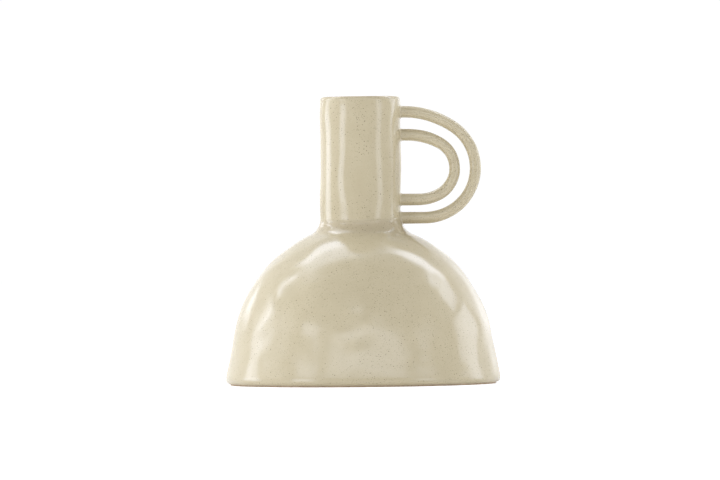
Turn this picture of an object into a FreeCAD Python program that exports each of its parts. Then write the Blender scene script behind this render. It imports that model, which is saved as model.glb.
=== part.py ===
import FreeCAD, Part
import math
import os

import Sketcher

# A wide stoneware dome with a straight neck and a handle of two nested clay loops.
# Millimetres and degrees. The ground is at z = 0, the neck stands on the Z axis,
# and both loops lie in the plane y = 0 and reach towards +X.

SIZES = (
    ("height", 270.0, "rim above the ground"),
    ("wall", 5.0, "thickness of the thrown walls"),
    ("foot_ring_height", 1.2, "bare clay ring that the jar stands on"),
    ("foot_ring_width", 12.0, "bare clay ring, across its band"),
    ("foot_ring_step", 0.6, "glaze line, in from the slab's rounded edge"),
    ("foot_ring_round", 0.4, "worn lower edges of the ring"),
    ("floor_thickness", 6.0, "base slab"),
    ("floor_round", 4.0, "lower edge of the base slab"),
    ("foot_radius", 129.2, "base slab and the wall that stands on it"),
    ("wall_lean", 11.6, "lower wall, inward from upright"),
    ("lower_wall_height", 40.3, "straight part of the wall, above the slab"),
    ("collar_radius", 18.0, "hollow curve between dome and neck"),
    ("neck_foot_height", 156.5, "top of the collar, where the neck is set on"),
    ("neck_radius", 38.0, "outside of the neck"),
    ("lip_round", 2.2, "rounded rim, inside and outside"),
    ("seam_coil_radius", 6.0, "clay coil pressed into the inside corner of the floor"),
    ("luting_width", 2.5, "clay worked round each handle root, past the rod"),
    ("luting_land", 0.4, "least thickness of that clay at its edges"),
    ("outer_rod_radius", 5.3, "outer loop's clay rod"),
    ("outer_top_drop", 13.5, "outer loop's upper root, below the rim"),
    ("outer_bottom_rise", 0.5, "outer loop's lower root, above the collar"),
    ("outer_top_run", 2.2, "straight length out of the neck before it bends"),
    ("outer_top_bend", 82.0, "radius of its first bend from the top"),
    ("outer_top_angle", 35.7, "angle of that bend"),
    ("outer_bottom_bend", 53.0, "radius of its last bend"),
    ("outer_bottom_angle", 18.6, "angle of that bend"),
    ("inner_rod_radius", 5.4, "inner loop's clay rod"),
    ("inner_top_drop", 35.1, "inner loop's upper root, below the rim"),
    ("inner_bottom_rise", 17.6, "inner loop's lower root, above the collar"),
    ("inner_top_run", 6.2, "straight length out of the neck before it bends"),
    ("inner_top_bend", 61.0, "radius of its first bend from the top"),
    ("inner_top_angle", 29.0, "angle of that bend"),
    ("inner_bottom_bend", 43.0, "radius of its last bend"),
    ("inner_bottom_angle", 25.0, "angle of that bend"),
)

size = {alias: value for alias, value, note in SIZES}

# Heights and radii that several pieces share, as the sheet's own formulas
FLOOR_UNDERSIDE = "sizes.foot_ring_height"
FLOOR_TOP = "(sizes.foot_ring_height + sizes.floor_thickness)"
FOOT_RING_OUTSIDE = "(sizes.foot_radius - sizes.floor_round - sizes.foot_ring_step)"
INSIDE_FOOT_RADIUS = "(sizes.foot_radius - sizes.wall / cos(sizes.wall_lean))"
COLLAR_CENTRE = "(sizes.neck_radius + sizes.collar_radius)"
ROOT_DEPTH = "(sizes.neck_radius - sizes.wall / 2)"

# A sketch's own root point and upright axis, and the ends and centre of what is drawn
ROOT, UPRIGHT_AXIS = range(-1, -3, -1)
START, END, CENTRE = range(1, 4)

FULL_TURN = 360.0
HALF_TURN = FULL_TURN / 2
QUARTER_TURN = FULL_TURN / 4


def make_sheet(document):
    """The driving dimensions, one row each: its name, its number and what it is."""
    sheet = document.addObject("Spreadsheet::Sheet", "sizes")
    for row, (alias, value, note) in enumerate(SIZES, start=1):
        sheet.set("A%d" % row, alias)
        sheet.set("B%d" % row, str(value))
        sheet.set("C%d" % row, note)
        sheet.setAlias("B%d" % row, alias)
    document.recompute()


def plane(body, role):
    """One of a body's own origin planes."""
    return next(item for item in body.Origin.OriginFeatures if item.Role == role)


def add_sketch(body, name, role):
    """An empty sketch on one of the body's origin planes."""
    sketch = body.newObject("Sketcher::SketchObject", name)
    sketch.AttachmentSupport = [(plane(body, role), "")]
    sketch.MapMode = "FlatFace"
    return sketch


def polar(centre, radius, angle):
    """The point at an angle in degrees round a centre."""
    turn = math.radians(angle)
    return centre + FreeCAD.Vector(math.cos(turn), math.sin(turn), 0) * radius


def draw_line(sketch, start, end, construction=False):
    return sketch.addGeometry(Part.LineSegment(start, end), construction)


def draw_point(sketch, place):
    return sketch.addGeometry(Part.Point(place), True)


def draw_circle(sketch, centre, radius):
    return sketch.addGeometry(Part.Circle(centre, FreeCAD.Vector(0, 0, 1), radius), False)


def draw_arc(sketch, centre, radius, start_angle, end_angle):
    """An arc that runs anticlockwise between two angles in degrees."""
    circle = Part.Circle(centre, FreeCAD.Vector(0, 0, 1), radius)
    arc = Part.ArcOfCircle(circle, math.radians(start_angle), math.radians(end_angle))
    return sketch.addGeometry(arc, False)


def tie(sketch, kind, *places):
    """A constraint with no size: what meets, touches or is level."""
    sketch.addConstraint(Sketcher.Constraint(kind, *places))


def join_chain(sketch, corners):
    """Closes an outline: each corner names the two ends that meet there."""
    for first, first_end, second, second_end in corners:
        tie(sketch, "Coincident", first, first_end, second, second_end)


def hold(sketch, expression, kind, *places):
    """A dimension that starts at what is drawn and then follows the sheet."""
    if kind == "Radius":
        value = sketch.Geometry[places[0]].Radius
    else:
        gap = sketch.getPoint(places[2], places[3]) - sketch.getPoint(places[0], places[1])
        value = {"DistanceX": gap.x, "DistanceY": gap.y, "Distance": gap.Length}[kind]
    index = sketch.addConstraint(Sketcher.Constraint(kind, *places, value))
    sketch.setExpression("Constraints[%d]" % index, expression)


def place(sketch, geometry, end, across, up):
    """Holds a drawn point at its distances from the root, across and up."""
    hold(sketch, across, "DistanceX", ROOT, START, geometry, end)
    hold(sketch, up, "DistanceY", ROOT, START, geometry, end)


def revolve(body, sketch, axis="V_Axis"):
    feature = body.newObject("PartDesign::Revolution", body.Name + "_turned")
    feature.Profile = sketch
    feature.ReferenceAxis = (sketch, [axis])
    feature.Angle = FULL_TURN
    sketch.Visibility = False
    return feature


def pad(body, sketch, length):
    feature = body.newObject("PartDesign::Pad", body.Name + "_pad")
    feature.Profile = sketch
    feature.setExpression("Length", length)
    sketch.Visibility = False
    return feature


def round_edges(body, base, height, radius):
    """Rounds the circular edges that lie at one height of a feature."""
    body.Document.recompute()
    level = [
        "Edge%d" % number
        for number, edge in enumerate(base.Shape.Edges, start=1)
        if all(math.isclose(vertex.Z, height) for vertex in edge.Vertexes)
    ]
    feature = body.newObject("PartDesign::Fillet", body.Name + "_round")
    feature.Base = (base, level)
    feature.setExpression("Radius", radius)
    return feature


def cut_away(document, label, base, tools):
    """A piece whose contact faces are those of the pieces that it is pressed onto."""
    tool = tools[0]
    if len(tools) > 1:
        tool = document.addObject("Part::MultiFuse", label + "_neighbours")
        tool.Shapes = tools
    piece = document.addObject("Part::Cut", label)
    piece.Base = base
    piece.Tool = tool
    piece.Label = label
    return piece


def dome_arc():
    """The dome's outer arc: it leaves the leaning wall and meets the collar, tangent to both."""
    lean = size["wall_lean"]
    floor_top = size["foot_ring_height"] + size["floor_thickness"]
    drift = size["lower_wall_height"] * math.tan(math.radians(lean))
    wall_foot = FreeCAD.Vector(size["foot_radius"], floor_top, 0)
    wall_top = wall_foot + FreeCAD.Vector(-drift, size["lower_wall_height"], 0)
    collar_centre = FreeCAD.Vector(
        size["neck_radius"] + size["collar_radius"], size["neck_foot_height"], 0
    )
    outward = polar(FreeCAD.Vector(), 1, lean)
    span = wall_top - collar_centre
    radius = (span.Length**2 - size["collar_radius"] ** 2) / (
        2 * (span.dot(outward) + size["collar_radius"])
    )
    centre = wall_top - outward * radius
    towards_collar = collar_centre - centre
    turn = math.degrees(math.atan2(towards_collar.y, towards_collar.x))
    return wall_foot, centre, radius, collar_centre, turn


def make_base_slab(document):
    """A rolled disc with a rounded lower edge. The wall stands on its rim."""
    body = document.addObject("PartDesign::Body", "base_slab")
    sketch = add_sketch(body, "base_slab_outline", "XY_Plane")
    sketch.setExpression(".AttachmentOffset.Base.z", FLOOR_UNDERSIDE)
    circle = draw_circle(sketch, FreeCAD.Vector(), size["foot_radius"])
    tie(sketch, "Coincident", circle, CENTRE, ROOT, START)
    hold(sketch, "sizes.foot_radius", "Radius", circle)
    disc = pad(body, sketch, "sizes.floor_thickness")
    round_edges(body, disc, size["foot_ring_height"], "sizes.floor_round")
    return body


def make_foot_ring(document):
    """The wiped, unglazed ring under the slab. It alone touches the ground."""
    body = document.addObject("PartDesign::Body", "foot_ring")
    sketch = add_sketch(body, "foot_ring_outline", "XY_Plane")
    outside = size["foot_radius"] - size["floor_round"] - size["foot_ring_step"]
    inside = FOOT_RING_OUTSIDE + " - sizes.foot_ring_width"
    outer = draw_circle(sketch, FreeCAD.Vector(), outside)
    inner = draw_circle(sketch, FreeCAD.Vector(), outside - size["foot_ring_width"])
    for circle, radius in ((outer, FOOT_RING_OUTSIDE), (inner, inside)):
        tie(sketch, "Coincident", circle, CENTRE, ROOT, START)
        hold(sketch, radius, "Radius", circle)
    ring = pad(body, sketch, "sizes.foot_ring_height")
    round_edges(body, ring, 0, "sizes.foot_ring_round")
    return body


def make_body_dome(document):
    """The thrown wall: a leaning straight foot that runs into one wide arc."""
    wall_foot, centre, radius, collar_centre, turn = dome_arc()
    lean = size["wall_lean"]
    wall = size["wall"]
    inside_radius = radius - wall
    shift = FreeCAD.Vector(wall / math.cos(math.radians(lean)), 0, 0)

    body = document.addObject("PartDesign::Body", "body_dome")
    sketch = add_sketch(body, "body_dome_section", "XZ_Plane")
    bed = draw_line(sketch, wall_foot - shift, wall_foot)
    outer_wall = draw_line(sketch, wall_foot, polar(centre, radius, lean))
    outer_arc = draw_arc(sketch, centre, radius, lean, turn)
    joint = draw_line(sketch, polar(centre, radius, turn), polar(centre, inside_radius, turn))
    inner_arc = draw_arc(sketch, centre, inside_radius, lean, turn)
    inner_wall = draw_line(sketch, polar(centre, inside_radius, lean), wall_foot - shift)
    collar = draw_point(sketch, collar_centre)

    tie(sketch, "Coincident", bed, END, outer_wall, START)
    tie(sketch, "Tangent", outer_wall, END, outer_arc, START)
    tie(sketch, "Coincident", outer_arc, END, joint, START)
    tie(sketch, "Coincident", joint, END, inner_arc, END)
    tie(sketch, "Tangent", inner_arc, START, inner_wall, START)
    tie(sketch, "Coincident", inner_wall, END, bed, START)
    tie(sketch, "Coincident", outer_arc, CENTRE, inner_arc, CENTRE)
    tie(sketch, "Horizontal", bed)
    tie(sketch, "Parallel", outer_wall, inner_wall)
    tie(sketch, "PointOnObject", collar, START, joint)
    tie(sketch, "PointOnObject", outer_arc, CENTRE, joint)
    drift = "sizes.lower_wall_height * tan(sizes.wall_lean)"
    place(sketch, outer_wall, START, "sizes.foot_radius", FLOOR_TOP)
    place(sketch, collar, START, COLLAR_CENTRE, "sizes.neck_foot_height")
    hold(sketch, "sizes.lower_wall_height", "DistanceY", outer_wall, START, outer_wall, END)
    hold(sketch, drift, "DistanceX", outer_wall, END, outer_wall, START)
    hold(sketch, "sizes.collar_radius", "Distance", joint, START, collar, START)
    hold(sketch, "sizes.wall", "Distance", joint, END, joint, START)
    revolve(body, sketch)
    return body


def make_neck_collar(document):
    """The flared ring that closes the dome and carries the neck."""
    wall_foot, centre, radius, collar_centre, turn = dome_arc()
    wall = size["wall"]
    flare = size["collar_radius"]
    inside_flare = flare + wall
    down = turn + HALF_TURN

    body = document.addObject("PartDesign::Body", "neck_collar")
    sketch = add_sketch(body, "neck_collar_section", "XZ_Plane")
    joint = draw_line(
        sketch, polar(collar_centre, inside_flare, down), polar(collar_centre, flare, down)
    )
    outer_arc = draw_arc(sketch, collar_centre, flare, HALF_TURN, down)
    seat = draw_line(
        sketch,
        polar(collar_centre, flare, HALF_TURN),
        polar(collar_centre, inside_flare, HALF_TURN),
    )
    inner_arc = draw_arc(sketch, collar_centre, inside_flare, HALF_TURN, down)

    # The dome's centre and the wall below it, drawn again to give the joint its angle
    dome = draw_point(sketch, centre)
    outer_wall = draw_line(sketch, wall_foot, polar(centre, radius, size["wall_lean"]), True)
    spoke = draw_line(sketch, polar(centre, radius, size["wall_lean"]), centre, True)

    join_chain(
        sketch,
        (
            (joint, END, outer_arc, END),
            (outer_arc, START, seat, START),
            (seat, END, inner_arc, START),
            (inner_arc, END, joint, START),
            (outer_arc, CENTRE, inner_arc, CENTRE),
            (outer_wall, END, spoke, START),
            (spoke, END, dome, START),
        ),
    )
    tie(sketch, "Perpendicular", outer_wall, spoke)
    tie(sketch, "PointOnObject", dome, START, joint)
    tie(sketch, "PointOnObject", outer_arc, CENTRE, joint)
    tie(sketch, "Horizontal", seat)
    tie(sketch, "PointOnObject", outer_arc, CENTRE, seat)
    drift = "sizes.lower_wall_height * tan(sizes.wall_lean)"
    place(sketch, outer_wall, START, "sizes.foot_radius", FLOOR_TOP)
    place(sketch, outer_arc, CENTRE, COLLAR_CENTRE, "sizes.neck_foot_height")
    hold(sketch, "sizes.lower_wall_height", "DistanceY", outer_wall, START, outer_wall, END)
    hold(sketch, drift, "DistanceX", outer_wall, END, outer_wall, START)
    hold(sketch, "sizes.collar_radius", "Radius", outer_arc)
    hold(sketch, "sizes.wall", "Distance", joint, START, joint, END)
    equal_reach(sketch, dome, spoke, outer_arc, joint)
    revolve(body, sketch)
    return body


def equal_reach(sketch, dome, spoke, outer_arc, joint):
    """The dome's centre is as far from the leaning wall as from the collar's joint."""
    reach = draw_line(
        sketch, sketch.getPoint(dome, START), sketch.getPoint(outer_arc, END), True
    )
    tie(sketch, "Coincident", reach, START, dome, START)
    tie(sketch, "Coincident", reach, END, joint, END)
    tie(sketch, "Equal", reach, spoke)


def make_neck_tube(document):
    """The straight neck, with its rim rounded inside and outside."""
    body = document.addObject("PartDesign::Body", "neck_tube")
    sketch = add_sketch(body, "neck_tube_outline", "XY_Plane")
    sketch.setExpression(".AttachmentOffset.Base.z", "sizes.neck_foot_height")
    outer = draw_circle(sketch, FreeCAD.Vector(), size["neck_radius"])
    inner = draw_circle(sketch, FreeCAD.Vector(), size["neck_radius"] - size["wall"])
    bore = "sizes.neck_radius - sizes.wall"
    for circle, radius in ((outer, "sizes.neck_radius"), (inner, bore)):
        tie(sketch, "Coincident", circle, CENTRE, ROOT, START)
        hold(sketch, radius, "Radius", circle)
    tube = pad(body, sketch, "sizes.height - sizes.neck_foot_height")
    round_edges(body, tube, size["height"], "sizes.lip_round")
    return body


def make_floor_seam_coil(document):
    """A coil pressed into the corner where the dome stands on the slab, a quarter round."""
    wall_foot, centre, radius, collar_centre, turn = dome_arc()
    lean = size["wall_lean"]
    coil = size["seam_coil_radius"]
    corner = wall_foot - FreeCAD.Vector(size["wall"] / math.cos(math.radians(lean)), 0, 0)
    up_the_wall = QUARTER_TURN + lean

    body = document.addObject("PartDesign::Body", "floor_seam_coil")
    sketch = add_sketch(body, "floor_seam_coil_section", "XZ_Plane")
    floor = draw_line(sketch, polar(corner, coil, HALF_TURN), corner)
    wall = draw_line(sketch, corner, polar(corner, coil, up_the_wall))
    curve = draw_arc(sketch, corner, coil, up_the_wall, HALF_TURN)
    join_chain(
        sketch,
        (
            (floor, END, wall, START),
            (wall, END, curve, START),
            (curve, END, floor, START),
            (curve, CENTRE, floor, END),
        ),
    )
    tie(sketch, "Horizontal", floor)
    place(sketch, floor, END, INSIDE_FOOT_RADIUS, FLOOR_TOP)
    hold(sketch, "sizes.seam_coil_radius", "Radius", curve)
    drift = "sizes.seam_coil_radius * sin(sizes.wall_lean)"
    hold(sketch, drift, "DistanceX", wall, END, wall, START)
    revolve(body, sketch)
    return body


def root_heights(loop):
    """The heights of a loop's two roots, as numbers and as the sheet's formulas."""
    top = size["height"] - size[loop + "_top_drop"]
    bottom = size["neck_foot_height"] + size[loop + "_bottom_rise"]
    top_formula = "(sizes.height - sizes.%s_top_drop)" % loop
    bottom_formula = "(sizes.neck_foot_height + sizes.%s_bottom_rise)" % loop
    return (("top", top, top_formula), ("bottom", bottom, bottom_formula))


def draw_loop_path(body, loop):
    """The rod's centre line: out of the neck, round in three tangent arcs and back."""
    (_, top, top_formula), (_, bottom, bottom_formula) = root_heights(loop)
    top_bend = size[loop + "_top_bend"]
    bottom_bend = size[loop + "_bottom_bend"]
    top_angle = size[loop + "_top_angle"]
    bottom_angle = size[loop + "_bottom_angle"]
    top_turn = math.radians(top_angle)
    bottom_turn = math.radians(bottom_angle)
    depth = size["neck_radius"] - size["wall"] / 2
    fall = top_bend * (1 - math.cos(top_turn)) + bottom_bend * (1 - math.cos(bottom_turn))
    end_bend = (top - bottom - fall) / (math.cos(top_turn) + math.cos(bottom_turn))

    first_angle = QUARTER_TURN - top_angle
    last_angle = bottom_angle - QUARTER_TURN
    bend_start = size["neck_radius"] + size[loop + "_top_run"]
    top_centre = FreeCAD.Vector(bend_start, top - top_bend, 0)
    end_centre = polar(top_centre, top_bend - end_bend, first_angle)
    bottom_centre = polar(end_centre, end_bend - bottom_bend, last_angle)

    path = add_sketch(body, loop + "_path", "XZ_Plane")
    top_run = draw_line(
        path, FreeCAD.Vector(depth, top, 0), polar(top_centre, top_bend, QUARTER_TURN)
    )
    top_arc = draw_arc(path, top_centre, top_bend, first_angle, QUARTER_TURN)
    end_arc = draw_arc(path, end_centre, end_bend, last_angle, first_angle)
    bottom_arc = draw_arc(path, bottom_centre, bottom_bend, -QUARTER_TURN, last_angle)
    bottom_run = draw_line(
        path,
        polar(bottom_centre, bottom_bend, -QUARTER_TURN),
        FreeCAD.Vector(depth, bottom, 0),
    )

    tie(path, "Tangent", top_run, END, top_arc, END)
    tie(path, "Tangent", top_arc, START, end_arc, END)
    tie(path, "Tangent", end_arc, START, bottom_arc, END)
    tie(path, "Tangent", bottom_arc, START, bottom_run, START)
    tie(path, "Horizontal", top_run)
    tie(path, "Horizontal", bottom_run)
    place(path, top_run, START, ROOT_DEPTH, top_formula)
    place(path, bottom_run, END, ROOT_DEPTH, bottom_formula)
    hold(path, "sizes.%s_top_bend" % loop, "Radius", top_arc)
    hold(path, "sizes.%s_bottom_bend" % loop, "Radius", bottom_arc)
    top_shift = "sizes.{0}_top_bend * sin(sizes.{0}_top_angle)".format(loop)
    bottom_shift = "sizes.{0}_bottom_bend * sin(sizes.{0}_bottom_angle)".format(loop)
    bend_start_formula = "sizes.neck_radius + sizes.%s_top_run" % loop
    hold(path, top_shift, "DistanceX", top_arc, CENTRE, top_arc, START)
    hold(path, bottom_shift, "DistanceX", bottom_arc, CENTRE, bottom_arc, END)
    hold(path, bend_start_formula, "DistanceX", ROOT, START, top_run, END)
    return path


def make_handle_loop(document, loop, neck):
    """One round clay rod bent into a loop, its two ends shaped to the neck."""
    body = document.addObject("PartDesign::Body", loop + "_rod")
    path = draw_loop_path(body, loop)
    (_, top, top_formula), _ = root_heights(loop)
    section = add_sketch(body, loop + "_section", "YZ_Plane")
    section.setExpression(".AttachmentOffset.Base.z", ROOT_DEPTH)
    circle = draw_circle(section, FreeCAD.Vector(0, top, 0), size[loop + "_rod_radius"])
    tie(section, "PointOnObject", circle, CENTRE, UPRIGHT_AXIS)
    hold(section, top_formula, "DistanceY", ROOT, START, circle, CENTRE)
    hold(section, "sizes.%s_rod_radius" % loop, "Radius", circle)
    document.recompute()
    rod = body.newObject("PartDesign::AdditivePipe", loop + "_rod_sweep")
    rod.Profile = section
    rod.Spine = path
    path.Visibility = False
    section.Visibility = False
    return cut_away(document, loop + "_handle_loop", body, neck)


def make_luting(document, loop, root, neighbours):
    """The collar of soft clay worked round one root of a loop, hollow in section."""
    end, height, height_formula = root
    label = "%s_handle_%s_luting" % (loop, end)
    rod = size[loop + "_rod_radius"]
    width = size["luting_width"]
    depth = size["neck_radius"] - size["wall"] / 2
    hollow = width - size["luting_land"]
    centre = FreeCAD.Vector(size["neck_radius"] + width, height + rod + width, 0)
    axis_start = FreeCAD.Vector(depth, height, 0)
    axis_end = FreeCAD.Vector(centre.x, height, 0)

    body = document.addObject("PartDesign::Body", label + "_button")
    sketch = add_sketch(body, label + "_section", "XZ_Plane")
    back = draw_line(sketch, axis_start, FreeCAD.Vector(depth, centre.y, 0))
    rim = draw_line(sketch, FreeCAD.Vector(depth, centre.y, 0), polar(centre, hollow, HALF_TURN))
    curve = draw_arc(sketch, centre, hollow, HALF_TURN, HALF_TURN + QUARTER_TURN)
    front = draw_line(sketch, polar(centre, hollow, HALF_TURN + QUARTER_TURN), axis_end)
    core = draw_line(sketch, axis_end, axis_start)
    axis = draw_line(sketch, axis_start, axis_end, True)
    join_chain(
        sketch,
        (
            (back, END, rim, START),
            (rim, END, curve, START),
            (curve, END, front, START),
            (front, END, core, START),
            (core, END, back, START),
            (axis, START, core, END),
            (axis, END, core, START),
        ),
    )
    tie(sketch, "Vertical", back)
    tie(sketch, "Horizontal", rim)
    tie(sketch, "Vertical", front)
    tie(sketch, "Horizontal", core)
    tie(sketch, "Horizontal", curve, START, curve, CENTRE)
    tie(sketch, "Vertical", curve, END, curve, CENTRE)
    rise = "%s + sizes.%s_rod_radius + sizes.luting_width" % (height_formula, loop)
    place(sketch, core, END, ROOT_DEPTH, height_formula)
    place(sketch, curve, CENTRE, "sizes.neck_radius + sizes.luting_width", rise)
    hold(sketch, "sizes.luting_width - sizes.luting_land", "Radius", curve)
    revolve(body, sketch, "Axis0")
    return cut_away(document, label, body, neighbours)


def check_document(document, pieces):
    """Stops before anything is written if a feature failed or a piece is not sound."""
    failed = [
        item.Name
        for item in document.Objects
        if "Invalid" in item.State or "Error" in item.State
    ]
    if failed:
        raise RuntimeError("These features failed: " + ", ".join(failed))
    for piece in pieces:
        if piece.Shape.isNull() or not piece.Shape.isValid():
            raise RuntimeError(piece.Label + " has no sound shape")
        if len(piece.Shape.Solids) != 1:
            raise RuntimeError(piece.Label + " is not one solid")


def main():
    document = FreeCAD.newDocument("domed_jar")
    make_sheet(document)

    base_slab = make_base_slab(document)
    foot_ring = make_foot_ring(document)
    body_dome = make_body_dome(document)
    neck_collar = make_neck_collar(document)
    neck_tube = make_neck_tube(document)
    floor_seam_coil = make_floor_seam_coil(document)
    document.recompute()
    pieces = [base_slab, foot_ring, body_dome, floor_seam_coil, neck_collar, neck_tube]

    neck = [neck_tube, neck_collar]
    for loop in ("outer", "inner"):
        handle = make_handle_loop(document, loop, neck)
        pieces.append(handle)
        for root in root_heights(loop):
            pieces.append(make_luting(document, loop, root, neck + [handle]))

    document.recompute()
    check_document(document, pieces)
    os.makedirs("parts", exist_ok=True)
    for piece in pieces:
        piece.Shape.exportStep(os.path.join("parts", piece.Label + ".step"))
        print("%-30s %10.1f mm3" % (piece.Label, piece.Shape.Volume))


main()
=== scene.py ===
"""Looks of a handled stoneware vase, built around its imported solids.

Lengths are in millimetres until a mesh is made, and angles in degrees. The origin is
on the ground at the centre of the foot, +Z is up and +X points to the handle.
"""

import math

import bpy
import numpy as np
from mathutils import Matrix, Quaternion, Vector


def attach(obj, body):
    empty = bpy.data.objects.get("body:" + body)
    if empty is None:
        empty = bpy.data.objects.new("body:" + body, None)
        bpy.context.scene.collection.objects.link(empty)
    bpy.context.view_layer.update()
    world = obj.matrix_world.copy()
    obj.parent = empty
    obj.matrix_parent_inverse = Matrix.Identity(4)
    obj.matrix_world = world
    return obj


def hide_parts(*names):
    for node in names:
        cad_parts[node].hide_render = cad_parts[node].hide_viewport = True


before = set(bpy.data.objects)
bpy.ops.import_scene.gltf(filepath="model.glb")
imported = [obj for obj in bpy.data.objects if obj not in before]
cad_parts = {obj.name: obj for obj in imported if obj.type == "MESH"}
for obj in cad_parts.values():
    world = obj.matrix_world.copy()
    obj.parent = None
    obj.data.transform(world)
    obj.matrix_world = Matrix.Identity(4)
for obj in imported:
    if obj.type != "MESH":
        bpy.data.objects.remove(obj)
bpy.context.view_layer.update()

MM = 0.001

# The turned body, as radii from the axis and heights from the ground.
HEIGHT = 270.0
WALL = 5.0
FOOT_RADIUS = 129.15
FOOT_GAP = 1.2
FLOOR_TOP = 7.2
FLOOR_ROUND = 4.0
WALL_LEAN = 11.6
DOME_CENTRE = (-8.50, 20.93)
DOME_RADIUS = 132.13
SHOULDER_ANGLE = 64.56
COLLAR_CENTRE = (56.0, 156.5)
COLLAR_RADIUS = 18.0
NECK_RADIUS = 38.0
LIP_ROUND = 2.2
LIP_STRETCH = 1.9
LIP_START = HEIGHT - LIP_ROUND * LIP_STRETCH
RING_INNER = 112.6
RING_OUTER = 124.6
RING_ROUND = 0.4

# The skin's grid: its innermost row on the floor, and its columns round the axis.
POLE_GAP = 6.0
COLUMNS = 288

# How far the neck stands off the dome's own axis towards the handle, how much it leans
# that way for each unit of height, and the height where it starts to leave the axis.
NECK_OFFSET = -1.0
NECK_LEAN = 0.004
OFFSET_START = 128.0

# Unevenness left by the hands: (seed, waves, shortest, longest, height).
BODY_WAVES = (
    (11, 22, 60.0, 110.0, 0.40),
    (12, 26, 28.0, 50.0, 0.25),
    (13, 30, 18.0, 32.0, 0.08),
)
NECK_WAVES = ((21, 18, 45.0, 80.0, 0.48), (23, 18, 24.0, 44.0, 0.24))
ROD_WAVES = ((31, 14, 18.0, 40.0, 0.10),)

# Heights between which the body's unevenness grows up from the foot, gives way to the
# neck's own, turns to point straight out from the axis, and calms down to the lip.
FOOT_CALM = (5.0, 26.0)
NECK_BLEND = (132.0, 160.0)
RADIAL_BLEND = (138.0, 147.0)
LIP_CALM = (262.0, 269.0)

# The share of its waves that the neck loses at the lip, and how far it stands back there.
LIP_CALMED = 0.75
LIP_DROP = 0.21

# Places pressed in or left standing while the clay was soft: azimuth from the viewer's
# side, height, reach along, reach up, and how far it stands out.
PRESSES = (
    (-50.0, 50.0, 26.0, 18.0, -0.5),
    (-54.0, 12.0, 14.0, 25.0, 0.4),
    (-44.0, 92.0, 14.0, 16.0, 0.15),
    (46.0, 84.0, 16.0, 16.0, -0.5),
    (-28.0, 34.0, 16.0, 13.0, -0.45),
    (-12.0, 62.0, 15.0, 10.0, -0.40),
    (-3.0, 43.0, 20.0, 10.0, 0.30),
    (9.0, 25.0, 17.0, 10.0, -0.40),
    (22.0, 40.0, 12.0, 14.0, -0.35),
    (28.0, 16.0, 12.0, 10.0, -0.35),
    (-90.0, 86.0, 60.0, 26.0, 1.5),
    (90.0, 118.0, 50.0, 18.0, 1.2),
)

# The joint under the neck: a low ridge with a shallow groove below it, each as its place
# above the joint, width and height. It is weaker away from the viewer's side.
SEAM_HEIGHT = 152.7
SEAM_TILT = 0.06
RIDGE = (0.0, 0.6, 0.34)
GROOVE = (-2.6, 1.4, -0.16)
SEAM_BEHIND = 0.35
SEAM_FADE = (5.0, 32.0)

# The soft bead that the lip ends in: distance below the top, width and height.
BEAD = (2.8, 1.0, 0.16)

# The hand-rolled rods: heights of the two roots, straight run out of the neck, radius and
# angle of the bend next to each root, and the rod's own radius at the roots and halfway.
OUTER_ROD = {
    "top": 255.5,
    "bottom": 155.8,
    "run": 2.9,
    "top_bend": 82.0,
    "top_angle": 35.7,
    "bottom_bend": 53.0,
    "bottom_angle": 18.6,
    "root_radius": 5.6,
    "end_radius": 5.25,
}
INNER_ROD = {
    "top": 233.8,
    "bottom": 173.1,
    "run": 6.9,
    "top_bend": 61.0,
    "top_angle": 29.0,
    "bottom_bend": 43.0,
    "bottom_angle": 25.0,
    "root_radius": 5.65,
    "end_radius": 5.2,
}

# Their grids, how deep they go into the neck, and the fillets round their roots.
ROD_COLUMNS = 56
ROD_STEP = 1.4
ROD_EDGE = 0.5
ROD_SINK = 0.6
FILLET_ALONG = 2.2
FILLET_ACROSS = 2.0
FILLET_ROWS = 10

# How much of the collar's round a root may stand on, and the rounds of two searches: for
# the neck's skin, and for the place where a rod meets it.
COLLAR_REACH = 0.9
FACE_ROUNDS = 4
ROOT_ROUNDS = 8


def smooth_step(value, low, high):
    share = np.clip((value - low) / (high - low), 0.0, 1.0)
    return share * share * (3 - 2 * share)


def bell(value, centre, width):
    return np.exp(-(((value - centre) / width) ** 2))


def wave_sum(points, waves):
    """Low soft waves that run in many directions, at each of the points."""
    total = np.zeros(points.shape[:-1])
    for seed, count, shortest, longest, height in waves:
        dice = np.random.default_rng(seed)
        directions = dice.normal(size=(count, 3))
        directions /= np.linalg.norm(directions, axis=1)[:, None]
        lengths = dice.uniform(shortest, longest, count)
        phases = dice.uniform(0, 2 * math.pi, count)
        share = height / math.sqrt(count)
        for direction, length, phase in zip(directions, lengths, phases):
            total += share * np.sin(points @ direction * (2 * math.pi / length) + phase)
    return total


# Sections of the turned body


def arc(centre, radius, start, end, step, stretch=1.0):
    """Points and normals along an arc, stretched upwards, with the solid on its left."""
    count = max(2, math.ceil(abs(math.radians(end - start)) * radius / step) + 1)
    side = 1 if end > start else -1
    rows = []
    for angle in np.radians(np.linspace(start, end, count)):
        across, up = math.cos(angle), math.sin(angle)
        place = (centre[0] + radius * across, centre[1] + radius * stretch * up)
        length = math.hypot(across * stretch, up)
        rows.append((*place, side * across * stretch / length, side * up / length))
    return rows


def line(start, end, step):
    """Points and normals along a straight part of the section, solid on its left."""
    run, rise = end[0] - start[0], end[1] - start[1]
    length = math.hypot(run, rise)
    count = max(2, math.ceil(length / step) + 1)
    return [
        (start[0] + run * share, start[1] + rise * share, rise / length, -run / length)
        for share in np.linspace(0, 1, count)
    ]


def on_arc(centre, radius, degrees):
    angle = math.radians(degrees)
    return centre[0] + radius * math.cos(angle), centre[1] + radius * math.sin(angle)


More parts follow.
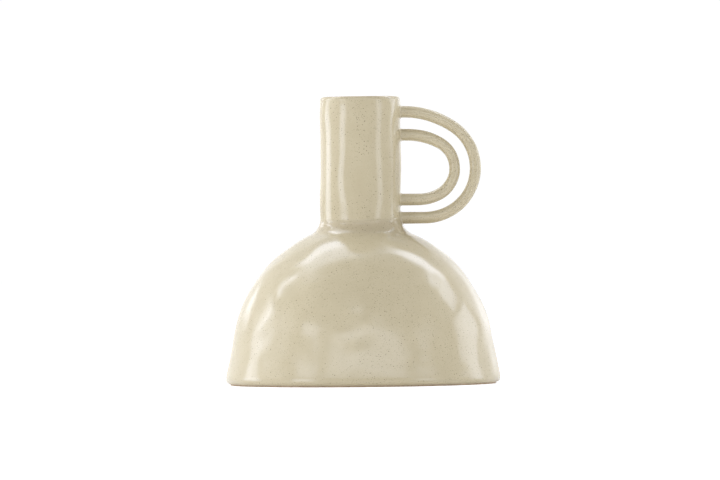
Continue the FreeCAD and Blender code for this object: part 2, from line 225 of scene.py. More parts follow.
def vase_section():
    """The section up the outside and down the inside, and the rows of each part."""
    half_lean = WALL_LEAN / 2
    side_start = FOOT_GAP + FLOOR_ROUND
    heel_round = (FLOOR_TOP - side_start) / math.tan(math.radians(half_lean))
    heel_centre = (FOOT_RADIUS - heel_round, side_start)
    round_centre = (FOOT_RADIUS - FLOOR_ROUND, side_start)
    floor_edge = (FOOT_RADIUS - FLOOR_ROUND, FOOT_GAP)
    wall_foot = on_arc(heel_centre, heel_round, WALL_LEAN)
    wall_top = on_arc(DOME_CENTRE, DOME_RADIUS, WALL_LEAN)
    collar_start = SHOULDER_ANGLE - 180
    neck_foot = (NECK_RADIUS, COLLAR_CENTRE[1])
    bore = NECK_RADIUS - WALL
    outer_lip = (NECK_RADIUS - LIP_ROUND, LIP_START)
    inner_lip = (bore + LIP_ROUND, LIP_START)
    vault = DOME_RADIUS - WALL
    vault_foot = on_arc(DOME_CENTRE, vault, WALL_LEAN)
    drop = vault_foot[1] - FLOOR_TOP
    inner_foot = (vault_foot[0] + drop * math.tan(math.radians(WALL_LEAN)), FLOOR_TOP)

    # Each part gives the longest step between its rows, and the lip its stretch.
    parts = (
        ("underside", line((POLE_GAP, FOOT_GAP), floor_edge, 8.0)),
        ("floor_round", arc(round_centre, FLOOR_ROUND, -90, 0, 0.5)),
        ("low_heel", arc(heel_centre, heel_round, 0, half_lean, 0.5)),
        ("high_heel", arc(heel_centre, heel_round, half_lean, WALL_LEAN, 0.5)),
        ("wall", line(wall_foot, wall_top, 2.4)),
        ("dome", arc(DOME_CENTRE, DOME_RADIUS, WALL_LEAN, SHOULDER_ANGLE, 2.2)),
        ("collar", arc(COLLAR_CENTRE, COLLAR_RADIUS, collar_start, -180, 0.5)),
        ("neck", line(neck_foot, (NECK_RADIUS, LIP_START), 1.5)),
        ("lip", arc(outer_lip, LIP_ROUND, 0, 90, 0.2, LIP_STRETCH)),
        ("rim", arc(inner_lip, LIP_ROUND, 90, 180, 0.2, LIP_STRETCH)),
        ("bore", line((bore, LIP_START), (bore, COLLAR_CENTRE[1]), 3.0)),
        ("throat", arc(COLLAR_CENTRE, COLLAR_RADIUS + WALL, -180, collar_start, 1.5)),
        ("vault", arc(DOME_CENTRE, vault, SHOULDER_ANGLE, WALL_LEAN, 5.0)),
        ("inside", line(vault_foot, inner_foot, 5.0)),
        ("floor", line(inner_foot, (POLE_GAP, FLOOR_TOP), 10.0)),
    )
    rows, spans = [], {}
    for name, points in parts:
        joined = bool(rows) and np.allclose(rows[-1][:2], points[0][:2], atol=0.01)
        spans[name] = (len(rows) - joined, len(rows) - joined + len(points))
        rows += points[joined:]
    return np.array(rows), spans


# The uneven skin that all turned pieces share


def seam_shape(points):
    """The joint line under the neck, strongest on the side that faces the viewer."""
    level = points[..., 2] - SEAM_HEIGHT - SEAM_TILT * points[..., 0]
    front = smooth_step(-points[..., 1], *SEAM_FADE)
    total = np.zeros(level.shape)
    for centre, width, height in (RIDGE, GROOVE):
        total += height * bell(level, centre, width)
    return total * (SEAM_BEHIND + (1 - SEAM_BEHIND) * front)


def press_shape(points):
    """Soft dents and swellings at their own places on the dome."""
    azimuth = np.degrees(np.arctan2(points[..., 0], -points[..., 1]))
    radius = np.hypot(points[..., 0], points[..., 1])
    total = np.zeros(radius.shape)
    for place, height, along, tall, depth in PRESSES:
        turn = (azimuth - place + 180) % 360 - 180
        reach = np.radians(turn) * radius / along
        total += depth * np.exp(-(reach**2) - ((points[..., 2] - height) / tall) ** 2)
    return total


def unevenness(points):
    """How far the skin stands off the true form, at points of the true form."""
    height = points[..., 2]
    on_neck = smooth_step(height, *NECK_BLEND)
    body = wave_sum(points, BODY_WAVES) + press_shape(points)
    body *= smooth_step(height, *FOOT_CALM)
    at_lip = smooth_step(height, *LIP_CALM)
    neck = wave_sum(points, NECK_WAVES) * (1 - LIP_CALMED * at_lip) - LIP_DROP * at_lip
    below, width, rise = BEAD
    neck += rise * bell(height, HEIGHT - below, width)
    return body * (1 - on_neck) + neck * on_neck + seam_shape(points)


def neck_shift(height):
    """How far the neck's axis stands off the dome's, at each height."""
    shift = NECK_OFFSET * smooth_step(height, OFFSET_START, COLLAR_CENTRE[1])
    return shift + NECK_LEAN * np.maximum(height - COLLAR_CENTRE[1], 0)


def turned_skin(rows):
    """The whole skin as a grid of points, and its normals."""
    turns = np.linspace(0, 2 * math.pi, COLUMNS, endpoint=False)
    around = np.stack([np.cos(turns), np.sin(turns)], axis=1)
    radius, height, across, up = rows.T
    radial = smooth_step(height, *RADIAL_BLEND)
    radial *= (height > RADIAL_BLEND[0]) & (height < LIP_START) & (across > 0)
    across = across * (1 - radial) + np.sign(across) * radial
    up = up * (1 - radial)

    def lifted(first, second):
        flat = first[:, None, None] * around[None]
        tall = np.broadcast_to(second[:, None, None], (len(first), COLUMNS, 1))
        return np.concatenate([flat, tall], axis=2)

    points = lifted(radius, height)
    points = points + lifted(across, up) * unevenness(points)[..., None]
    points[..., 0] += neck_shift(points[..., 2])
    steps = np.hypot(np.diff(radius), np.diff(height))
    along = np.gradient(points, np.concatenate([[0], np.cumsum(steps)]), axis=0)
    sideways = np.roll(points, -1, axis=1) - np.roll(points, 1, axis=1)
    normals = np.cross(sideways, along)
    return points, normals / np.linalg.norm(normals, axis=2)[..., None]


# Meshes


def make_mesh(name, points, faces, normals, smooth):
    """A closed mesh whose smooth faces shade by the given normals."""
    mesh = bpy.data.meshes.new(name)
    mesh.from_pydata([tuple(p) for p in points * MM], [], faces)
    mesh.polygons.foreach_set("use_smooth", np.ones(len(faces), bool))
    mesh.update()
    corner_normals = []
    for polygon, is_smooth in zip(mesh.polygons, smooth):
        flat = tuple(polygon.normal)
        for corner in polygon.vertices:
            corner_normals.append(tuple(normals[corner]) if is_smooth else flat)
    mesh.normals_split_custom_set(corner_normals)
    piece = bpy.data.objects.new(name, mesh)
    bpy.context.scene.collection.objects.link(piece)
    return piece


def ring_faces(row_count, columns, closed):
    """Quads between neighbouring rows of a grid that runs round an axis."""
    rows = row_count if closed else row_count - 1
    faces = []
    for row in range(rows):
        low = row * columns
        high = (row + 1) % row_count * columns
        for column in range(columns):
            after = (column + 1) % columns
            faces.append((low + column, low + after, high + after, high + column))
    return faces


def ring_mesh(name, grids, closed=True):
    """A mesh round an axis from grids of rows; the bands between grids are cut faces."""
    points = np.concatenate([grid[0] for grid in grids])
    normals = np.concatenate([grid[1] for grid in grids])
    row_count, columns = points.shape[:2]
    ends = set(np.cumsum([len(grid[0]) for grid in grids]) - 1)
    faces = ring_faces(row_count, columns, closed)
    smooth = [index // columns not in ends for index in range(len(faces))]
    flat_points = points.reshape(-1, 3)
    flat_normals = normals.reshape(-1, 3)
    if not closed:
        first, last = points[0].mean(axis=0), points[-1].mean(axis=0)
        poles = len(flat_points)
        flat_points = np.concatenate([flat_points, [first, last]])
        down = flat_normals[:columns].mean(axis=0)
        up = flat_normals[-columns:].mean(axis=0)
        flat_normals = np.concatenate([flat_normals, [down, up]])
        start = (row_count - 1) * columns
        for column in range(columns):
            after = (column + 1) % columns
            faces.append((poles, after, column))
            faces.append((start + column, start + after, poles + 1))
            smooth += [False, False]
    return make_mesh(name, flat_points, faces, flat_normals, smooth)


def finish_piece(piece, material, slot_name, *nodes):
    piece.data.materials.append(material)
    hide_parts(*nodes)
    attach(piece, "root")
    return piece


# Turned pieces


def make_turned_pieces(glaze):
    rows, spans = vase_section()
    points, normals = turned_skin(rows)

    def grid(first, last):
        start, end = spans[first][0], spans[last][1]
        return points[start:end], normals[start:end]

    slab_grids = [grid("underside", "low_heel"), grid("floor", "floor")]
    dome_grids = [grid("high_heel", "dome"), grid("vault", "inside")]
    collar_grids = [grid("collar", "collar"), grid("throat", "throat")]
    slab = ring_mesh("glazed_floor_slab", slab_grids, closed=False)
    dome = ring_mesh("glazed_dome", dome_grids)
    collar = ring_mesh("glazed_collar", collar_grids)
    neck = ring_mesh("glazed_neck", [grid("neck", "bore")])
    finish_piece(slab, glaze, "speckled_glaze", "base_slab")
    finish_piece(dome, glaze, "speckled_glaze", "body_dome")
    finish_piece(collar, glaze, "speckled_glaze", "neck_collar")
    finish_piece(neck, glaze, "speckled_glaze", "neck_tube")


def make_foot_ring(clay):
    """The bare ring that the vase stands on, ground flat below."""
    inner = (RING_INNER + RING_ROUND, RING_ROUND)
    outer = (RING_OUTER - RING_ROUND, RING_ROUND)
    side_step, round_step, flat_step = 0.4, 0.2, 3.0
    rows = line((RING_INNER, FOOT_GAP), (RING_INNER, RING_ROUND), side_step)
    rows += arc(inner, RING_ROUND, 180, 270, round_step)[1:]
    rows += line((inner[0], 0.0), (outer[0], 0.0), flat_step)[1:]
    rows += arc(outer, RING_ROUND, -90, 0, round_step)[1:]
    rows += line((RING_OUTER, RING_ROUND), (RING_OUTER, FOOT_GAP), side_step)[1:]
    points, normals = turned_skin(np.array(rows))
    ring = ring_mesh("bare_foot_ring", [(points, normals)])
    finish_piece(ring, clay, "bare_clay", "foot_ring")


# Handle


def rod_line(rod):
    """The rod's centre line, out of the neck and back, as a fine table."""
    top_turn = math.radians(rod["top_angle"])
    bottom_turn = math.radians(rod["bottom_angle"])
    fall = rod["top_bend"] * (1 - math.cos(top_turn))
    fall += rod["bottom_bend"] * (1 - math.cos(bottom_turn))
    spread = math.cos(top_turn) + math.cos(bottom_turn)
    end_bend = (rod["top"] - rod["bottom"] - fall) / spread
    end_turn = math.pi - top_turn - bottom_turn
    start = NECK_RADIUS - WALL / 2
    run = NECK_RADIUS + rod["run"] - start
    reach = rod["run"] + rod["top_bend"] * math.sin(top_turn)
    reach += end_bend * (math.sin(bottom_turn) - math.sin(top_turn))
    back = WALL / 2 + reach - rod["bottom_bend"] * math.sin(bottom_turn)
    parts = (
        (run, 0.0),
        (rod["top_bend"] * top_turn, 1 / rod["top_bend"]),
        (end_bend * end_turn, 1 / end_bend),
        (rod["bottom_bend"] * bottom_turn, 1 / rod["bottom_bend"]),
        (back, 0.0),
    )
    fine = 0.1
    bends = np.concatenate([np.full(round(length / fine), bend) for length, bend in parts])
    heading = -np.cumsum(bends) * fine + bends * fine / 2
    across = start + np.concatenate([[0], np.cumsum(np.cos(heading)) * fine])
    up = rod["top"] + np.concatenate([[0], np.cumsum(np.sin(heading)) * fine])
    heading = np.concatenate([heading[:1], (heading[1:] + heading[:-1]) / 2, heading[-1:]])
    return np.arange(len(across)) * fine, across, up, heading


def rod_surface(rod, table, along, turn):
    """Points of the rod's uneven skin at distances along it and angles round it."""
    distance, across, up, heading = table
    total = distance[-1]
    centre_x = np.interp(along, distance, across)
    centre_z = np.interp(along, distance, up)
    course = np.interp(along, distance, heading)
    middle = np.sin(math.pi * np.clip(along / total, 0, 1)) ** 3
    radius = rod["root_radius"] + (rod["end_radius"] - rod["root_radius"]) * middle
    side = np.cos(turn)
    normal_x, normal_z = np.sin(course) * side, -np.cos(course) * side
    normal = np.stack([normal_x, np.sin(turn), normal_z], axis=-1)
    centre = np.stack([centre_x, np.zeros_like(centre_x), centre_z], axis=-1)
    true = centre + normal * radius[..., None]
    points = true + normal * wave_sum(true, ROD_WAVES)[..., None]
    points[..., 0] += neck_shift(points[..., 2])
    return points


def neck_face(side, height):
    """Where the neck's uneven skin is, towards +X, at a distance aside and a height."""
    below = np.clip(COLLAR_CENTRE[1] - height, 0, COLLAR_RADIUS * COLLAR_REACH)
    true = COLLAR_CENTRE[0] - np.sqrt(COLLAR_RADIUS**2 - below**2)
    across = np.sqrt(true**2 - side**2)
    for _ in range(FACE_ROUNDS):
        scale = true / np.hypot(across, side)
        point = np.stack([across * scale, side * scale, height], axis=-1)
        across = np.sqrt((true + unevenness(point)) ** 2 - side**2)
    return across + neck_shift(height)


def neck_normal(side, height):
    step = 0.2
    slope_side = neck_face(side + step, height) - neck_face(side - step, height)
    slope_up = neck_face(side, height + step) - neck_face(side, height - step)
    normal = np.stack(
        [np.ones_like(side), -slope_side / (2 * step), -slope_up / (2 * step)], axis=-1
    )
    return normal / np.linalg.norm(normal, axis=-1)[..., None]


def grid_normals(points):
    along = np.gradient(points, axis=0)
    sideways = np.roll(points, -1, axis=1) - np.roll(points, 1, axis=1)
    normals = np.cross(sideways, along)
    return normals / np.linalg.norm(normals, axis=2)[..., None]


def rod_root(rod, table, turns, top):
    """How far along the rod each line of its skin meets the neck."""
    along = np.full(len(turns), WALL / 2 if top else table[0][-1] - WALL / 2)
    outward = 1 if top else -1
    for _ in range(ROOT_ROUNDS):
        points = rod_surface(rod, table, along, turns)
        gap = neck_face(points[:, 1], points[:, 2]) - points[:, 0]
        along = along + outward * gap
    return along


def make_rod(name, rod, table, turns, roots):
    """The bent rod, from the neck's skin and back to it, and its normals at both ends."""
    start = roots["top"] + FILLET_ALONG
    end = roots["bottom"] - FILLET_ALONG
    count = round(float(np.mean(end - start)) / ROD_STEP)
    shares = np.linspace(0, 1, count + 1)[:, None]
    edge = ROD_EDGE / (end - start).mean()
    wide_shares = np.concatenate([[[-edge]], shares, [[1 + edge]]])
    grid_turns = np.broadcast_to(turns, (count + 3, len(turns)))
    points = rod_surface(rod, table, start + (end - start) * wide_shares, grid_turns)
    normals = grid_normals(points)
    sunk = []
    for root, inward in ((roots["top"], -1), (roots["bottom"], 1)):
        row = rod_surface(rod, table, root + inward * ROD_SINK, turns)
        sunk.append((row[None], normals[1][None] if inward < 0 else normals[-2][None]))
    all_points = np.concatenate([sunk[0][0], points[1:-1], sunk[1][0]])
    all_normals = np.concatenate([sunk[0][1], normals[1:-1], sunk[1][1]])
    piece = ring_mesh(name, [(all_points, all_normals)], closed=False)
    return piece, normals[1], normals[-2]


def make_luting(name, rod, table, turns, root, top, rod_normals):
    """The clay smoothed round a root: a hollow fillet from the rod to the neck."""
    outward = 1 if top else -1
    corner = rod_surface(rod, table, root, turns)
    onto_rod = rod_surface(rod, table, root + outward * FILLET_ALONG, turns)
    middle = corner.mean(axis=0)
    spread = corner[:, 1:] - middle[1:]
    spread /= np.linalg.norm(spread, axis=1)[:, None]
    foot_side = corner[:, 1] + spread[:, 0] * FILLET_ACROSS
    foot_height = corner[:, 2] + spread[:, 1] * FILLET_ACROSS
    foot_across = neck_face(foot_side, foot_height)
    onto_neck = np.stack([foot_across, foot_side, foot_height], axis=-1)

    shares = np.linspace(0, 1, FILLET_ROWS)[:, None, None]
    hollow = (1 - shares) ** 2 * onto_rod + 2 * shares * (1 - shares) * corner
    hollow = hollow + shares**2 * onto_neck
    if top:
        hollow = hollow[::-1]
    normals = grid_normals(hollow)
    rod_row, neck_row = (-1, 0) if top else (0, -1)
    normals[rod_row] = rod_normals
    normals[neck_row] = neck_normal(foot_side, foot_height)

    buried = corner - neck_normal(corner[:, 1], corner[:, 2]) * ROD_SINK
    buried[:, 1:] -= spread * ROD_SINK
    grids = [(hollow, normals), (buried[None], normals[:1])]
    return ring_mesh(name, grids)


def make_handle(label, rod, glaze):
    table = rod_line(rod)
    turns = np.linspace(0, 2 * math.pi, ROD_COLUMNS, endpoint=False)
    roots = {
        place: rod_root(rod, table, turns, place == "top") for place in ("top", "bottom")
    }
    loop, top_normals, bottom_normals = make_rod(
        "glazed_%s_loop" % label, rod, table, turns, roots
    )
    finish_piece(loop, glaze, "speckled_glaze", "%s_handle_loop" % label)
    for place, normals in (("top", top_normals), ("bottom", bottom_normals)):
        name = "glazed_%s_%s_luting" % (label, place)
        luting = make_luting(name, rod, table, turns, roots[place], place == "top", normals)
        node = "%s_handle_%s_luting" % (label, place)
        finish_piece(luting, glaze, "speckled_glaze", node)


# Materials


def put(tree, kind, inputs=None, **settings):
    """A node with its settings; an input is a number, a colour or another output."""
    made = tree.nodes.new(kind)
    for name, value in settings.items():
        setattr(made, name, value)
    for key, value in (inputs or {}).items():
        if isinstance(value, bpy.types.NodeSocket):
            tree.links.new(value, made.inputs[key])
        else:
            made.inputs[key].default_value = value
    return made


def noise(tree, place, scale, detail=2.0, rough=0.5):
    inputs = {"Vector": place, "Scale": scale, "Detail": detail, "Roughness": rough}
    return put(tree, "ShaderNodeTexNoise", inputs).outputs[0]


def ramp(tree, value, low, high, start=0.0, end=1.0):
    inputs = {"Value": value, "From Min": low, "From Max": high}
    inputs.update({"To Min": start, "To Max": end})
    made = put(tree, "ShaderNodeMapRange", inputs, interpolation_type="SMOOTHSTEP")
    return made.outputs["Result"]


def math_node(tree, operation, *values):
    made = put(tree, "ShaderNodeMath", dict(enumerate(values)), operation=operation)
    return made.outputs[0]


def blend_colour(tree, share, first, second):
    inputs = {0: share, 6: first, 7: second}
    return put(tree, "ShaderNodeMix", inputs, data_type="RGBA").outputs[2]


def new_material(name):
    material = bpy.data.materials.new(name)
    material.use_nodes = True
    tree = material.node_tree
    place = put(tree, "ShaderNodeTexCoord").outputs["Object"]
    return material, tree, tree.nodes["Principled BSDF"], place


def add_bump(tree, shader, relief, strength, depth):
    inputs = {"Height": relief, "Strength": strength, "Distance": depth * MM}
    bump = put(tree, "ShaderNodeBump", inputs)
    tree.links.new(bump.outputs["Normal"], shader.inputs["Normal"])


GLAZE = (0.573, 0.494, 0.324, 1)
GLAZE_DEEP = (0.543, 0.465, 0.298, 1)
GLAZE_THIN = (0.500, 0.400, 0.250, 1)
# Painted shade: a darker glaze colour for the collar crease under the neck, where less
# light falls.
GLAZE_PAINTED_SHADE = (0.498, 0.419, 0.270, 1)
IRON = (0.120, 0.078, 0.045, 1)
CLAY = (0.600, 0.480, 0.340, 1)
CLAY_DARK = (0.460, 0.350, 0.230, 1)
GRIT = (0.075, 0.050, 0.034, 1)

# Noise patterns: scale, detail and roughness.
BROAD = (14.0, 3.0, 0.55)
CLOUDS = (70.0, 4.0, 0.6)
GRAIN = (900.0, 3.0, 0.6)
PEEL = (320.0, 2.0, 0.5)
CLAY_CLOUDS = (120.0, 4.0, 0.6)
TOOTH = (1600.0, 4.0, 0.65)

# The parts of a noise's values that a change runs over.
MOST = (0.3, 0.7)
MIDDLE = (0.35, 0.65)
CROWDING_RANGE = (0.36, 0.64)
TONE_RANGE = (0.12, 0.40)

# Round dots: the cell that may hold one, its largest radius, and the share of the cells
# that hold one where the crowding is a half. Crowding follows a broad noise.
COARSE_IRON = (2.2, 0.46, 0.30)
FINE_IRON = (1.3, 0.30, 0.48)
GRIT_DOTS = (1.2, 0.35, 0.30)
COARSE_STRENGTH = 0.8
FINE_STRENGTH = 0.65
CROWDING = (0.35, 1.5)
SMALLEST_DOT = 0.45
DOT_EDGE = 0.22

# Where the glaze changes, below the top and over the foot, and where painted shade rises
# and falls in the collar crease.
RIM_THIN = (1.6, 0.2)
RIM_SHARE = 0.8
COLLAR_SHADE_BELOW = (139.0, 147.0)
COLLAR_SHADE_ABOVE = (156.5, 151.0)
BARE_EDGE = (1.3, 0.7)
BARE_RAGGED = 1.2

# Roughness, and bumps as strength and depth.
SATIN = (0.14, 0.17)
BARE_ROUGH = 0.8
CLAY_ROUGH = (0.72, 0.92)
PEEL_BUMP = (0.25, 0.04)
TOOTH_BUMP = (0.6, 0.15)
IRON_PIT = 0.6


def speckles(tree, place, cell, radius, share, crowding):
    """Round dots: one in some cells of a grid, each of its own size."""
    cells = put(tree, "ShaderNodeTexVoronoi", {"Vector": place, "Scale": 1 / (cell * MM)})
    parts = put(tree, "ShaderNodeSeparateColor", {"Color": cells.outputs["Color"]})
    largest = radius / cell
    size = ramp(tree, parts.outputs[1], 0.0, 1.0, SMALLEST_DOT * largest, largest)
    edge = math_node(tree, "SUBTRACT", size, cells.outputs["Distance"])
    dot = ramp(tree, edge, 0.0, DOT_EDGE * largest)
    limit = math_node(tree, "MULTIPLY", crowding, 2 * share)
    chosen = math_node(tree, "LESS_THAN", parts.outputs[0], limit)
    return math_node(tree, "MULTIPLY", dot, chosen)


def iron_speckles(tree, place):
    """Coarse and fine speckles, crowded in some places and sparse in others."""
    broad = noise(tree, place, *BROAD)
    crowding = ramp(tree, broad, *CROWDING_RANGE, *CROWDING)
    coarse = speckles(tree, place, *COARSE_IRON, crowding)
    fine = speckles(tree, place, *FINE_IRON, crowding)
    strong = math_node(tree, "MULTIPLY", coarse, COARSE_STRENGTH)
    faint = math_node(tree, "MULTIPLY", fine, FINE_STRENGTH)
    return math_node(tree, "MAXIMUM", strong, faint)


def make_glaze():
    """A satin beige glaze with iron speckles, thin at rim and foot, with painted shade in
    the collar crease.
    """
    material, tree, shader, place = new_material("speckled_satin_glaze")
    cloudy = noise(tree, place, *CLOUDS)
    tone = math_node(tree, "MULTIPLY", cloudy, noise(tree, place, *GRAIN))
    colour = blend_colour(tree, ramp(tree, tone, *TONE_RANGE), GLAZE_DEEP, GLAZE)

    height = put(tree, "ShaderNodeSeparateXYZ", {0: place}).outputs["Z"]
    start, end = [(HEIGHT - below) * MM for below in RIM_THIN]
    rim = ramp(tree, height, start, end, 0.0, RIM_SHARE)
    colour = blend_colour(tree, rim, colour, GLAZE_THIN)
    # Painted shade: a darker colour in a band round the collar crease under the neck.
    below, above = [
        ramp(tree, height, low * MM, high * MM) for low, high in (COLLAR_SHADE_BELOW, COLLAR_SHADE_ABOVE)
    ]
    collar_shade = math_node(tree, "MULTIPLY", below, above)
    colour = blend_colour(tree, collar_shade, colour, GLAZE_PAINTED_SHADE)
    iron = iron_speckles(tree, place)
    colour = blend_colour(tree, iron, colour, IRON)

    ragged = math_node(tree, "MULTIPLY", cloudy, BARE_RAGGED * MM)
    worn = math_node(tree, "SUBTRACT", height, ragged)
    bare = ramp(tree, worn, BARE_EDGE[0] * MM, BARE_EDGE[1] * MM)
    colour = blend_colour(tree, bare, colour, CLAY)
    tree.links.new(colour, shader.inputs["Base Color"])

    satin = ramp(tree, cloudy, *MOST, *SATIN)
    rough = put(tree, "ShaderNodeMix", {0: bare, 2: satin, 3: BARE_ROUGH}).outputs[0]
    tree.links.new(rough, shader.inputs["Roughness"])

    peel = noise(tree, place, *PEEL)
    relief = math_node(tree, "SUBTRACT", peel, math_node(tree, "MULTIPLY", iron, IRON_PIT))
    add_bump(tree, shader, relief, *PEEL_BUMP)
    return material


def make_bare_clay():
    """Dry unglazed stoneware with dark grit and a rough tooth."""
    material, tree, shader, place = new_material("bare_stoneware")
    cloudy = noise(tree, place, *CLAY_CLOUDS)
    colour = blend_colour(tree, ramp(tree, cloudy, *MIDDLE), CLAY_DARK, CLAY)
    grit = speckles(tree, place, *GRIT_DOTS, cloudy)
    colour = blend_colour(tree, grit, colour, GRIT)
    tree.links.new(colour, shader.inputs["Base Color"])
    tooth = noise(tree, place, *TOOTH)
    tree.links.new(ramp(tree, tooth, *MOST, *CLAY_ROUGH), shader.inputs["Roughness"])
    add_bump(tree, shader, tooth, *TOOTH_BUMP)
    return material


# Studio


CAMERA_PLACE = (-0.0018, -5.64, 0.1354)
CAMERA_ROLL = 0.55
LENS = 300.0
SENSOR = 36.0
VIEW_DEPTH = 40.0

# Upright boxes: name, azimuth from the viewer's side (right is positive), distance from
# the axis, lowest and highest edge and width in metres, radiance, and share of soft edge.
STANDING_BOXES = (
    ("left_back_strip", -104.5, 1.70, 0.00, 0.33, 0.78, 3.6, 0.15),
    ("left_back_tall", -105.5, 1.70, 0.20, 1.15, 0.56, 2.65, 0.18),
    ("left_side_box", -98.0, 1.75, 0.50, 0.98, 0.62, 2.7, 0.13),
    ("left_fill", -82.0, 2.20, 0.10, 1.60, 1.70, 0.8, 0.50),
    ("left_rear_box", -138.0, 2.20, 0.38, 0.98, 0.90, 2.0, 0.30),
    ("right_back_strip", 108.0, 1.70, 0.00, 0.36, 0.56, 2.6, 0.15),
    ("right_back_tall", 106.5, 1.70, 0.30, 0.88, 1.10, 2.2, 0.14),
    ("right_rear_box", 150.0, 5.00, 0.25, 1.60, 2.40, 0.60, 0.12),
    ("left_front_strip", -50.0, 1.80, 0.00, 0.46, 0.66, 4.1, 0.15),
    ("right_front_strip", 52.0, 1.80, 0.00, 0.46, 0.62, 2.3, 0.15),
    ("left_front_panel", -50.0, 2.20, 0.76, 1.32, 0.84, 3.1, 0.20),
    ("front_high_panel", -9.0, 2.20, 1.62, 2.56, 1.30, 1.9, 0.45),
    ("front_mid_panel", 20.0, 2.20, 1.12, 1.62, 0.62, 1.3, 0.40),
    ("front_panel", -9.0, 2.20, 0.84, 1.16, 0.90, 0.4, 0.25),
    ("right_front_panel", 56.0, 2.20, 0.74, 1.08, 0.84, 1.6, 0.20),
    ("front_wash", 3.0, 2.40, 0.78, 1.36, 4.40, 2.4, 0.24),
)

# Boxes overhead face the plane of the handle, and the far bars the vase's middle. Name,
# middle, length and depth in metres, radiance, share of soft edge, and turn in its plane.
OVERHEAD_BOXES = (
    ("left_top_bar", (-0.74, 0.85, 1.72), 1.26, 0.52, 4.3, 0.22, 0.0),
    ("left_top_soft", (-0.78, 0.40, 1.95), 2.60, 1.20, 2.9, 0.40, 0.0),
    ("right_top_bar", (1.25, 0.72, 1.90), 2.00, 0.66, 5.9, 0.26, 4.0),
)
FAR_BARS = (
    ("left_far_bar", (-1.80, 0.55, 1.68), 0.62, 0.18, 7.0, 0.25, -68.0),
    ("right_far_bar", (1.72, 0.68, 1.40), 0.85, 0.26, 4.0, 0.30, 43.0),
)
OVERHEAD_TARGET = 0.12

# The room's light: its mean, how it grows to the back, to the left and upwards, and how
# it falls to a share of itself towards the ceiling. The boxes' light is a little cooler.
ROOM_LIGHT = 0.90
ROOM_BACK = 0.33
ROOM_LEFT = 0.12
ROOM_UP = -0.10
CEILING = (0.55, 0.95)
CEILING_LIGHT = 0.35
ROOM_TINT = (0.99, 0.99, 1.0, 1)
LIGHT_TINT = (0.905, 0.965, 1.13)

# What the camera sees behind the vase, and the floor: its size in metres, the mottling of
# its white, its finish, and its own glow, which is stronger where the camera sees it.
WHITE = (1, 1, 1, 1)
BACKGROUND_LIGHT = 1.02
FLOOR_SIZE = 30.0
FLOOR_MOTTLE = 3.0
FLOOR_WHITE = (0.80, 0.82)
FLOOR_ROUGH = 0.9
FLOOR_SPECULAR = 0.1
FLOOR_GLOW = 0.16
FLOOR_SEEN_GLOW = 0.36


def make_softbox(name, place, target, width, height, radiance, feather, roll=0.0):
    """A rectangular light whose glow falls off softly to its edges."""
    light = bpy.data.lights.new(name, "AREA")
    light.shape = "RECTANGLE"
    light.size = width
    light.size_y = height
    light.color = LIGHT_TINT
    light.energy = radiance * math.pi * width * height
    light.use_nodes = True
    tree = light.node_tree
    across = put(tree, "ShaderNodeNewGeometry").outputs["Parametric"]
    parts = put(tree, "ShaderNodeSeparateXYZ", {0: across})
    glow = None
    for axis in ("X", "Y"):
        for low, high in ((0.0, feather), (1.0, 1.0 - feather)):
            edge = ramp(tree, parts.outputs[axis], low, high)
            glow = edge if glow is None else math_node(tree, "MULTIPLY", glow, edge)
    tree.links.new(glow, tree.nodes["Emission"].inputs["Strength"])
    box = bpy.data.objects.new(name, light)
    bpy.context.scene.collection.objects.link(box)
    box.location = place
    direction = Vector(place) - Vector(target)
    turn = direction.to_track_quat("Z", "Y") @ Quaternion((0, 0, 1), math.radians(roll))
    box.rotation_euler = turn.to_euler()
    box.visible_camera = False


def make_lights():
    for name, azimuth, distance, low, high, width, radiance, feather in STANDING_BOXES:
        turn, middle = math.radians(azimuth), (low + high) / 2
        place = (distance * math.sin(turn), -distance * math.cos(turn), middle)
        target = (0.0, 0.0, middle)
        make_softbox(name, place, target, width, high - low, radiance, feather)
    for name, place, width, depth, radiance, feather, roll in OVERHEAD_BOXES:
        target = (place[0], 0.0, OVERHEAD_TARGET)
        make_softbox(name, place, target, width, depth, radiance, feather, roll)
    for name, place, width, depth, radiance, feather, roll in FAR_BARS:
        target = (0.0, 0.0, OVERHEAD_TARGET)
        make_softbox(name, place, target, width, depth, radiance, feather, roll)


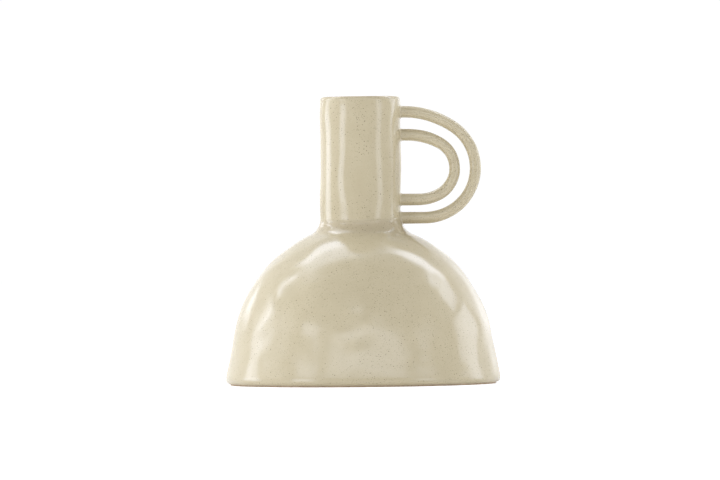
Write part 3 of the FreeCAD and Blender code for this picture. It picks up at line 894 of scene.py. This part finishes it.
def make_world():
    world = bpy.data.worlds.new("studio")
    bpy.context.scene.world = world
    world.use_nodes = True
    tree = world.node_tree
    tree.nodes.clear()
    inputs = {"Color": WHITE, "Strength": BACKGROUND_LIGHT}
    seen = put(tree, "ShaderNodeBackground", inputs)
    way = put(tree, "ShaderNodeTexCoord").outputs["Generated"]
    parts = put(tree, "ShaderNodeSeparateXYZ", {0: way})
    back = math_node(tree, "MULTIPLY", parts.outputs["Y"], ROOM_BACK)
    left = math_node(tree, "MULTIPLY", parts.outputs["X"], -ROOM_LEFT)
    up = math_node(tree, "MULTIPLY", parts.outputs["Z"], ROOM_UP)
    slope = math_node(tree, "ADD", math_node(tree, "ADD", back, left), up)
    ceiling = ramp(tree, parts.outputs["Z"], *CEILING, 1.0, CEILING_LIGHT)
    level = math_node(tree, "MULTIPLY", math_node(tree, "ADD", slope, ROOM_LIGHT), ceiling)
    room = put(tree, "ShaderNodeBackground", {"Color": ROOM_TINT, "Strength": level})
    rays = put(tree, "ShaderNodeLightPath")
    mix = put(tree, "ShaderNodeMixShader", {0: rays.outputs["Is Camera Ray"]})
    tree.links.new(room.outputs[0], mix.inputs[1])
    tree.links.new(seen.outputs[0], mix.inputs[2])
    put(tree, "ShaderNodeOutputWorld", {0: mix.outputs[0]})


def make_floor():
    """A plain white floor, bright enough to pass into the white behind it."""
    half = FLOOR_SIZE / 2
    corners = [(-half, -half, 0), (half, -half, 0), (half, half, 0), (-half, half, 0)]
    mesh = bpy.data.meshes.new("studio_floor")
    mesh.from_pydata(corners, [], [(0, 1, 2, 3)])
    floor = bpy.data.objects.new("studio_floor", mesh)
    bpy.context.scene.collection.objects.link(floor)
    material, tree, shader, place = new_material("white_floor")
    paper = ramp(tree, noise(tree, place, FLOOR_MOTTLE), *MOST, *FLOOR_WHITE)
    colour = put(tree, "ShaderNodeCombineColor", {0: paper, 1: paper, 2: paper})
    tree.links.new(colour.outputs[0], shader.inputs["Base Color"])
    shader.inputs["Roughness"].default_value = FLOOR_ROUGH
    shader.inputs["Specular IOR Level"].default_value = FLOOR_SPECULAR
    shader.inputs["Emission Color"].default_value = WHITE
    seen = put(tree, "ShaderNodeLightPath").outputs["Is Camera Ray"]
    glow = math_node(tree, "MULTIPLY_ADD", seen, FLOOR_SEEN_GLOW, FLOOR_GLOW)
    tree.links.new(glow, shader.inputs["Emission Strength"])
    mesh.materials.append(material)


def make_camera():
    camera = bpy.data.cameras.new("camera")
    camera.lens = LENS
    camera.sensor_width = SENSOR
    camera.clip_end = VIEW_DEPTH
    holder = bpy.data.objects.new("camera", camera)
    holder.location = CAMERA_PLACE
    holder.rotation_euler = (math.pi / 2, math.radians(CAMERA_ROLL), 0)
    bpy.context.scene.collection.objects.link(holder)
    bpy.context.scene.camera = holder


def main():
    glaze = make_glaze()
    clay = make_bare_clay()
    make_turned_pieces(glaze)
    make_foot_ring(clay)
    make_handle("outer", OUTER_ROD, glaze)
    make_handle("inner", INNER_ROD, glaze)
    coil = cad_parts["floor_seam_coil"]
    coil.data.materials.clear()
    coil.data.materials.append(clay)

    make_lights()
    make_world()
    make_floor()
    make_camera()
    bpy.context.scene.view_settings.view_transform = "Standard"


main()
